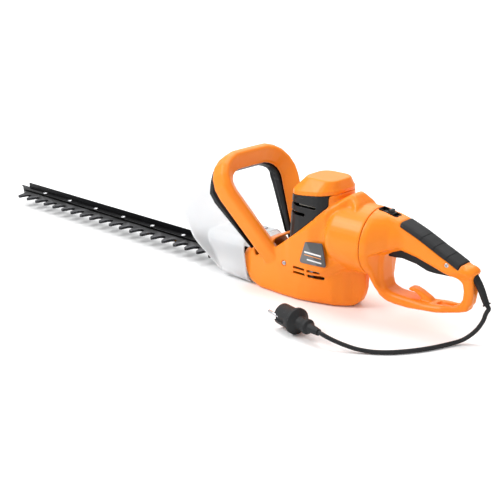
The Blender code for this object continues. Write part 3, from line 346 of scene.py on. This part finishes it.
def build_grain(n, inp, out, tree):
    """Spark-eroded mould grain: fine pits with broader, softer waves under them."""
    where = n.add("ShaderNodeTexCoord").outputs["Object"]
    fine = n.add("ShaderNodeTexNoise", {"Vector": where, "Scale": inp["Scale"], "Detail": 3.0,
                                        "Roughness": 0.6})
    half = n.add("ShaderNodeMath", {0: inp["Scale"], 1: 0.35}, operation="MULTIPLY")
    cells = n.add("ShaderNodeTexVoronoi", {"Vector": where, "Scale": half.outputs[0]})
    pits = n.grey(cells.outputs["Distance"], [(0.0, 0.0), (0.45, 1.0)])
    mixed = n.add("ShaderNodeMix", {0: 0.35, "A": fine.outputs["Fac"], "B": pits}, data_type="FLOAT")
    tree.links.new(mixed.outputs[0], out["Height"])


def build_patches(n, inp, out, tree):
    """Slow changes over a surface: where hands polish it and where dust dulls it."""
    where = n.add("ShaderNodeTexCoord").outputs["Object"]
    slow = n.add("ShaderNodeTexNoise", {"Vector": where, "Scale": inp["Scale"], "Detail": 4.0,
                                        "Roughness": 0.55, "Distortion": 0.4})
    out_mask = n.grey(slow.outputs["Fac"], [(0.32, 0.0), (0.68, 1.0)])
    tree.links.new(out_mask, out["Mask"])
    scuff = n.add("ShaderNodeMapping", {"Vector": where, "Rotation": (0.3, 0.5, 0.2),
                                        "Scale": (30.0, 220.0, 220.0)})
    lines = n.add("ShaderNodeTexNoise", {"Vector": scuff.outputs[0], "Scale": 2.0, "Detail": 2.0})
    rare = n.grey(lines.outputs["Fac"], [(0.70, 0.0), (0.76, 1.0)])
    tree.links.new(rare, out["Scuffs"])


GRAIN = group("mould_grain", [("Scale", "NodeSocketFloat", 1500.0)],
              [("Height", "NodeSocketFloat")], build_grain)
PATCHES = group("wear_patches", [("Scale", "NodeSocketFloat", 18.0)],
                [("Mask", "NodeSocketFloat"), ("Scuffs", "NodeSocketFloat")], build_patches)


def moulding(name, colour, second, roughness, grain_scale, grain_depth, patch_scale=18.0,
             specular=0.5, coat=0.0, subsurface=0.0):
    """A moulded material: two close colours in patches, rough and smooth areas, mould grain, rare scuffs."""
    made = bpy.data.materials.new(name)
    made.use_nodes = True
    n = Nodes(made.node_tree)
    shader = made.node_tree.nodes["Principled BSDF"]
    grain = n.add("ShaderNodeGroup", node_tree=GRAIN)
    grain.inputs["Scale"].default_value = grain_scale
    patches = n.add("ShaderNodeGroup", node_tree=PATCHES)
    patches.inputs["Scale"].default_value = patch_scale
    tint = n.ramp(patches.outputs["Mask"], [(0.0, colour), (1.0, second)])
    pale = tuple(min(1.0, c * 1.15 + 0.02) for c in second)
    scuffed = n.add("ShaderNodeMix", {0: patches.outputs["Scuffs"], "A": tint, "B": (*pale, 1.0)},
                    data_type="RGBA")
    made.node_tree.links.new(scuffed.outputs[2], shader.inputs["Base Color"])
    low, high = roughness
    rough = n.grey(patches.outputs["Mask"], [(0.0, low), (1.0, high)])
    more = n.add("ShaderNodeMath", {0: patches.outputs["Scuffs"], 1: 0.12, 2: rough},
                 operation="MULTIPLY_ADD")
    made.node_tree.links.new(more.outputs[0], shader.inputs["Roughness"])
    bump = n.add("ShaderNodeBump", {"Height": grain.outputs["Height"], "Strength": 0.35,
                                    "Distance": grain_depth * MM})
    made.node_tree.links.new(bump.outputs[0], shader.inputs["Normal"])
    shader.inputs["Specular IOR Level"].default_value = specular
    shader.inputs["Coat Weight"].default_value = coat
    shader.inputs["Coat Roughness"].default_value = 0.25
    if subsurface:
        shader.inputs["Subsurface Weight"].default_value = subsurface
        shader.inputs["Subsurface Radius"].default_value = (0.004, 0.0012, 0.0004)
        shader.inputs["Subsurface Scale"].default_value = 1.0
    return made


def metal(name, colour, second, roughness, streak=(400.0, 14.0, 400.0)):
    """A brushed or ground metal with streaks along it and darker stains."""
    made = bpy.data.materials.new(name)
    made.use_nodes = True
    n = Nodes(made.node_tree)
    shader = made.node_tree.nodes["Principled BSDF"]
    where = n.add("ShaderNodeTexCoord").outputs["Object"]
    stretched = n.add("ShaderNodeMapping", {"Vector": where, "Scale": streak})
    lines = n.add("ShaderNodeTexNoise", {"Vector": stretched.outputs[0], "Scale": 6.0, "Detail": 3.0})
    patches = n.add("ShaderNodeGroup", node_tree=PATCHES)
    patches.inputs["Scale"].default_value = 60.0
    tint = n.ramp(patches.outputs["Mask"], [(0.0, colour), (1.0, second)])
    made.node_tree.links.new(tint, shader.inputs["Base Color"])
    low, high = roughness
    rough = n.grey(lines.outputs["Fac"], [(0.25, low), (0.75, high)])
    made.node_tree.links.new(rough, shader.inputs["Roughness"])
    bump = n.add("ShaderNodeBump", {"Height": lines.outputs["Fac"], "Strength": 0.2,
                                    "Distance": 0.05 * MM})
    made.node_tree.links.new(bump.outputs[0], shader.inputs["Normal"])
    shader.inputs["Metallic"].default_value = 1.0
    return made


def blade_black():
    """Blackened steel whose teeth are ground bright along their tips and flanks."""
    made = metal("blade_steel", (0.004, 0.004, 0.005), (0.008, 0.008, 0.009), (0.30, 0.46),
                 (14.0, 300.0, 300.0))
    n = Nodes(made.node_tree)
    shader = made.node_tree.nodes["Principled BSDF"]
    dark = shader.inputs["Base Color"].links[0].from_socket
    bevel = n.add("ShaderNodeAttribute", attribute_name="ground")
    worn = n.add("ShaderNodeTexNoise", {"Scale": 300.0, "Detail": 2.0})
    made.node_tree.links.new(n.add("ShaderNodeTexCoord").outputs["Object"], worn.inputs["Vector"])
    patchy = n.grey(worn.outputs["Fac"], [(0.3, 0.35), (0.6, 1.0)])
    mask = n.add("ShaderNodeMath", {0: bevel.outputs["Fac"], 1: patchy}, operation="MULTIPLY")
    mixed = n.add("ShaderNodeMix", {0: mask.outputs[0], "A": dark, "B": (0.07, 0.07, 0.075, 1.0)},
                  data_type="RGBA")
    made.node_tree.links.new(mixed.outputs[2], shader.inputs["Base Color"])
    return made


def frosted_clear():
    """Milky clear plastic, rough on both faces, a little bluer where it is thick."""
    made = moulding("frosted", (0.93, 0.95, 0.97), (0.97, 0.975, 0.98), (0.42, 0.55), 900.0, 0.05, 25.0)
    shader = made.node_tree.nodes["Principled BSDF"]
    shader.inputs["Transmission Weight"].default_value = 0.62
    shader.inputs["IOR"].default_value = 1.3
    return made


def plate_film():
    """A dark printed film with a paler slanted wedge painted on as a reflection, and plain bars; no
    lettering.
    """
    made = moulding("label", (0.055, 0.058, 0.062), (0.065, 0.068, 0.072), (0.3, 0.38), 2500.0, 0.01, 60.0)
    n = Nodes(made.node_tree)
    shader = made.node_tree.nodes["Principled BSDF"]
    base = shader.inputs["Base Color"].links[0].from_socket
    where = n.add("ShaderNodeTexCoord").outputs["Object"]
    split = n.add("ShaderNodeSeparateXYZ", {"Vector": where})
    x, z = split.outputs["X"], split.outputs["Z"]
    # A slanted line across the film: on its lower side the colour is painted paler as a reflection, which is
    # not print
    slope = n.add("ShaderNodeMath", {0: x, 1: 1.6, 2: z}, operation="MULTIPLY_ADD")
    past_reflection = n.grey(slope.outputs[0], [(0.0925, 0.0), (0.0935, 1.0)])
    painted_reflection = n.add("ShaderNodeMath", {0: 1.0, 1: past_reflection}, operation="SUBTRACT")
    # The paler grey mixed in here is the painted reflection
    lit = n.add("ShaderNodeMix", {0: painted_reflection.outputs[0], "A": base, "B": (0.12, 0.125, 0.13, 1.0)},
                data_type="RGBA")
    colour = lit.outputs[2]
    for low, high, start, end, paint in BARS:
        inside = []
        for socket, a, b in ((z, low, high), (x, start, end)):
            middle, half = (a + b) / 2 * MM, (b - a) / 2 * MM
            inside.append(n.add("ShaderNodeMath", {0: socket, 1: middle, 2: half}, operation="COMPARE"))
        both = n.add("ShaderNodeMath", {0: inside[0].outputs[0], 1: inside[1].outputs[0]},
                     operation="MULTIPLY")
        painted = n.add("ShaderNodeMix", {0: both.outputs[0], "A": colour, "B": paint}, data_type="RGBA")
        colour = painted.outputs[2]
    made.node_tree.links.new(colour, shader.inputs["Base Color"])
    return made


ORANGE = (0.94, 0.250, 0.008)
ORANGE_DEEP = (0.92, 0.225, 0.006)
MATERIALS = {
    "orange": moulding("orange", ORANGE, ORANGE_DEEP, (0.33, 0.43), 1600.0, 0.05, 14.0,
                       specular=0.35, subsurface=0.08),
    "black_plastic": moulding("black_plastic", (0.0055, 0.0055, 0.006), (0.009, 0.009, 0.010),
                              (0.34, 0.46), 1300.0, 0.10, 30.0, specular=0.3),
    "black_rubber": moulding("black_rubber", (0.012, 0.0122, 0.013), (0.017, 0.0173, 0.018),
                             (0.5, 0.65), 1100.0, 0.12, 40.0, specular=0.28),
    "blade_steel": blade_black(),
    "steel": metal("steel", (0.60, 0.60, 0.61), (0.50, 0.50, 0.52), (0.2, 0.35)),
    "frosted": frosted_clear(),
    "label": plate_film(),
    "copper": metal("copper", (0.75, 0.34, 0.17), (0.62, 0.26, 0.12), (0.3, 0.45)),
    "brass": metal("brass", (0.78, 0.60, 0.30), (0.66, 0.50, 0.25), (0.35, 0.5)),
    "aluminium": metal("aluminium", (0.62, 0.63, 0.65), (0.54, 0.55, 0.57), (0.4, 0.55)),
    "nylon": moulding("nylon", (0.78, 0.76, 0.68), (0.72, 0.70, 0.62), (0.45, 0.55), 900.0, 0.08),
}


def repaint_frame():
    """Every CAD node takes the finish of its slot in the record."""
    slots = {row["node"]: row["material_slot"] for row in frame["record"]["subparts"]}
    for name, obj in frame["nodes"].items():
        obj.data.materials.clear()
        obj.data.materials.append(MATERIALS[slots[name]])


# ---------------------------------------------------------------- body and front handle


def draw_together(bm, front=-1000.0):
    """Carries the faces along the split of two halves past each other, so that they make one skin."""
    for v in bm.verts:
        if abs(v.co.y) < CLOSED * MM and v.co.x > front * MM:
            v.co.y = -math.copysign(CLOSED / 2 * MM, v.co.y) if abs(v.co.y) > 1e-7 else 0.0


def wrapped(bm, inside):
    """The hull of the points that lie inside, which fills an opening flush with its rim."""
    made = bmesh.new()
    for v in bm.verts:
        if inside(v.co / MM):
            made.verts.new(v.co)
    hull = bmesh.ops.convex_hull(made, input=made.verts)
    left_over = {g for key in ("geom_interior", "geom_unused") for g in hull[key]}
    bmesh.ops.delete(made, geom=[g for g in left_over if isinstance(g, bmesh.types.BMVert)],
                     context="VERTS")
    return made


def body_skin():
    """Both shells and the loop in one skin, with the small openings filled; they are cut again crisply."""
    bm = copied("body_shell_left", "body_shell_right", "front_handle", grow=0.35)
    draw_together(bm, NOSE_TIP)
    rims = []
    for x, low, high in VENT_SLOTS:
        for side in (-1, 1):
            rims.append(wrapped(bm, lambda co: x - 0.7 < co.x < x + SLOT_LENGTH + 0.7
                                and low - 0.7 < co.z < high + 0.7 and co.y * side > 33.0))
    rims.append(wrapped(bm, lambda co: co.x < NOSE_BACK and co.z < 78.0 and abs(co.y) < 46.0))
    for filled in rims:
        joined(bm, filled)
    return remeshed(bm, 1.35, 9)


def joined(bm, other):
    mesh = bpy.data.meshes.new("part")
    other.to_mesh(mesh)
    other.free()
    bm.from_mesh(mesh)
    bpy.data.meshes.remove(mesh)


def halves(skin):
    """The left and right half of a skin, a hair apart."""
    left = sliced(skin, (0, -SPLIT * MM, 0), (0, 1, 0))
    right = sliced(skin, (0, SPLIT * MM, 0), (0, -1, 0))
    skin.free()
    return left, right


def body():
    skin = body_skin()
    for side in (-1, 1):
        for x, low, high in VENT_SLOTS:
            y = sorted(side * reach for reach in SLOT_REACH)
            skin = cut(skin, box_shape((x, y[0], low), (x + SLOT_LENGTH, y[1], high)))
    skin = cut(skin, box_shape(*NOSE_MOUTH))
    pocket = bmesh.new()
    turn = Matrix.Rotation(math.pi / 2, 4, "X")
    bmesh.ops.create_cone(pocket, cap_ends=True, segments=32, radius1=SCREW_POCKET_R * MM,
                          radius2=SCREW_POCKET_R * MM, depth=SCREW_POCKET_DEPTH * MM,
                          matrix=Matrix.Translation(SCREW_POCKET_AT * MM) @ turn)
    skin = cut(skin, pocket)
    along = Vector((-math.sin(LEAN), 0.0, math.cos(LEAN)))
    at = LOOP_FOOT * MM + along * LOOP_SPLIT * MM
    loop = sliced(skin, at, -along)
    rest = sliced(skin, at, along)
    skin.free()
    left, right = halves(rest)
    piece("front_loop", loop, "orange", "housing", ["front_handle"], 50)
    piece("body_left", left, "orange", "housing", ["body_shell_left"], 50)
    piece("body_right", right, "orange", "housing", ["body_shell_right"], 50)


def eased(share):
    share = max(0.0, min(1.0, share))
    return share * share * (3.0 - 2.0 * share)


def slim_post(bm):
    """The loop's rear post is slimmer than its grip, and the lower bar narrows towards it."""
    for v in bm.verts:
        x, z = v.co.x / MM, v.co.z / MM
        share = eased((x - 195.0) / 30.0) * eased((98.0 - z) / 14.0)
        v.co.y *= 1.0 - POST_NARROWING * share
        v.co.x -= POST_THINNING * MM * share * eased((x - 232.0) / 12.0)


def rear():
    bm = copied("rear_handle_left", "rear_handle_right", grow=0.3)
    draw_together(bm)
    joined(bm, wrapped(bm, lambda co: 222.8 < co.x < 242.0 and co.z > 90.0 and abs(co.y) < 16.5))
    skin = remeshed(bm, 1.25, 15)
    slim_post(skin)
    skin = cut(skin, box_shape(*LATCH_ROOM))
    left, right = halves(skin)
    piece("grip_left", left, "orange", "rear_handle", ["rear_handle_left"], 50)
    piece("grip_right", right, "orange", "rear_handle", ["rear_handle_right"], 50)
    piece("latch_bezel", latch_tray(), "black_plastic", "rear_handle")


def latch_tray():
    """The black lining of the recess that the latch slides in."""
    tray = cut(box_shape(*LATCH_LINING), box_shape(*LATCH_INSIDE))
    return sliced(tray, Vector((96.5, 0.0, 153.2)) * MM, (0.24, 0.0, 1.0))


def eased_parts():
    """Single mouldings whose edges are softly rounded."""
    rows = [
        ("cap", "motor_cap", "orange", 0.9, 5, "housing", 0.2),
        ("vent_band", "vent_cover", "black_plastic", 0.75, 3, "housing", 0.1),
        ("switch_lever", "front_switch_lever", "black_plastic", 0.9, 6, "front_lever", 0.25),
        ("finger_trigger", "trigger", "black_plastic", 0.6, 10, "trigger", 0.2),
        ("latch_button", "latch_slider", "black_plastic", 0.4, 4, "latch", 0.1),
        ("guard", "hand_guard", "frosted", 1.1, 7, "housing", 0.2),
    ]
    for name, node, finish, voxel, rounds, body_name, grow in rows:
        piece(name, remeshed(copied(node, grow=grow), voxel, rounds), finish, body_name, [node], 50)


def overlay():
    bm = remeshed(copied("grip_overlay", grow=0.25), 0.8, 5)
    turn = Matrix.Rotation(-math.atan(GROOVE_SLOPE), 4, "Y")
    for x, z in GROOVES:
        groove = box_shape((-GROOVE_HALF, -20.0, -30.0), (GROOVE_HALF, 20.0, 30.0))
        groove.transform(Matrix.Translation(Vector((x, 0.0, z)) * MM) @ turn)
        shell = remeshed(copied("grip_overlay", grow=-GROOVE_DEPTH), 0.8, 2)
        bm = cut(bm, cut(groove, shell))
    piece("grip_rubber", bm, "black_rubber", "rear_handle", ["grip_overlay"], 50)


def crisp_parts():
    slots = {row["node"]: row["material_slot"] for row in frame["record"]["subparts"]}
    owner = {n: b for b, names in frame["record"]["behaviour"]["bodies"].items() for n in names}
    names = ["support_bar", "plug_body", "plug_pin_1", "plug_pin_2", "name_plate_left",
             "name_plate_right", "base_plate", "handle_screw", "swivel_collar", "body_screw_1",
             "guard_screw_left", "guard_screw_right"]
    names += [f"blade_bolt_{i}" for i in range(1, 7)] + [f"base_screw_{i}" for i in range(1, 5)]
    for node in names:
        width = 0.15 if "screw" in node else 0.3
        piece(node + ".looks", crisp(copied(node), width), slots[node], owner[node], [node])


def blades():
    for node in ("upper_blade", "lower_blade"):
        bm = crisp(copied(node), 0.5)
        layer = bm.verts.layers.float.new("ground")
        for v in bm.verts:
            tip = (-v.co.y / MM - 19.5) / 4.0
            v[layer] = max(0.0, min(1.0, tip))
        piece(node + ".looks", bm, "blade_steel", node, [node])


# ---------------------------------------------------------------- cord


def smooth_curve(points, count):
    """Points evenly spread along one smooth curve through the given ones."""
    points = [Vector(p) for p in points]
    ends = [points[0] * 2 - points[1], *points, points[-1] * 2 - points[-2]]
    dense = []
    for a, b, c, d in zip(ends, ends[1:], ends[2:], ends[3:]):
        for k in range(24):
            t = k / 24
            dense.append(0.5 * (2 * b + (c - a) * t + (2 * a - 5 * b + 4 * c - d) * t**2
                                + (3 * b - a - 3 * c + d) * t**3))
    dense.append(points[-1])
    along = [0.0]
    for a, b in zip(dense, dense[1:]):
        along.append(along[-1] + (b - a).length)
    made, k = [], 0
    for i in range(count):
        target = along[-1] * i / (count - 1)
        while k < len(along) - 2 and along[k + 1] < target:
            k += 1
        share = (target - along[k]) / max(along[k + 1] - along[k], 1e-9)
        made.append(dense[k].lerp(dense[k + 1], min(1.0, share)))
    return made


def tube_along(path, radii, sides=20):
    """A closed tube whose rings stand square to the path."""
    bm = bmesh.new()
    ring_before, up = None, Vector((0.3, 0.9, 0.2))
    for i, here in enumerate(path):
        ahead = (path[min(i + 1, len(path) - 1)] - path[max(i - 1, 0)]).normalized()
        across = ahead.cross(up).normalized()
        up = across.cross(ahead).normalized()
        ring = [bm.verts.new((here + (across * math.cos(2 * math.pi * k / sides)
                                      + up * math.sin(2 * math.pi * k / sides)) * radii[i]) * MM)
                for k in range(sides)]
        if ring_before is None:
            bm.faces.new(list(reversed(ring)))
        else:
            for k in range(sides):
                bm.faces.new((ring_before[k], ring_before[(k + 1) % sides],
                              ring[(k + 1) % sides], ring[k]))
        ring_before = ring
    bm.faces.new(ring_before)
    bmesh.ops.recalc_face_normals(bm, faces=bm.faces)
    return bm


def mains_lead():
    down = (Matrix.Rotation(math.pi / 2 + GLAND_DIP, 3, "Y") @ Vector((0, 0, 1))).normalized()
    into = (Matrix.Rotation(PLUG_TURN, 3, "Z") @ Matrix.Rotation(math.pi / 2, 3, "Y")
            @ Vector((0, 0, 1))).normalized()
    start = GLAND_START + down * (GLAND_LENGTH + 0.3)
    end = PLUG_START - into * 0.3
    path = [start, *smooth_curve([start + down * 5, *CORD_ROUTE, end - into * 5], CORD_POINTS), end]
    fine = smooth_curve(path, 220)
    lead = piece("mains_lead", tube_along(fine, [CORD_R] * len(fine)), "black_rubber", "housing",
                 ["cord"], 40)
    lead.parent = None
    del lead["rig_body"]
    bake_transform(lead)
    relief(down)


def relief(down):
    """The tapered strain relief: a smooth sleeve with faint rings, bowed a little, and a rim at its end."""
    rim = GLAND_LENGTH - 1.6
    stations = [(0.0, GLAND_R), (12.0, GLAND_R)]
    for k in range(GLAND_RINGS):
        at = 15.0 + k * 3.7
        wide = GLAND_R + (GLAND_TIP_R - GLAND_R) * (at - 14.0) / (rim - 14.0)
        stations += [(at, wide), (at + 2.6, wide - 0.05), (at + 2.9, wide - 0.28),
                     (at + 3.4, wide - 0.28)]
    stations += [(rim - 0.4, GLAND_TIP_R), (rim, GLAND_R), (rim + 0.4, GLAND_R + 0.1),
                 (GLAND_LENGTH - 0.3, GLAND_R + 0.1), (GLAND_LENGTH, GLAND_R - 0.3)]
    out = Vector((-down.z, 0.0, down.x))
    path = [GLAND_START + down * at + out * BOW * math.sin(math.pi * at / GLAND_LENGTH) ** 2
            for at, _ in stations]
    piece("strain_relief", tube_along(path, [r for _, r in stations], 24), "black_rubber",
          "rear_handle", ["cord_gland"], 30)


# ---------------------------------------------------------------- assembly

camera()
studio()
repaint_frame()
crisp_parts()
mains_lead()
blades()
body()
rear()
eased_parts()
overlay()
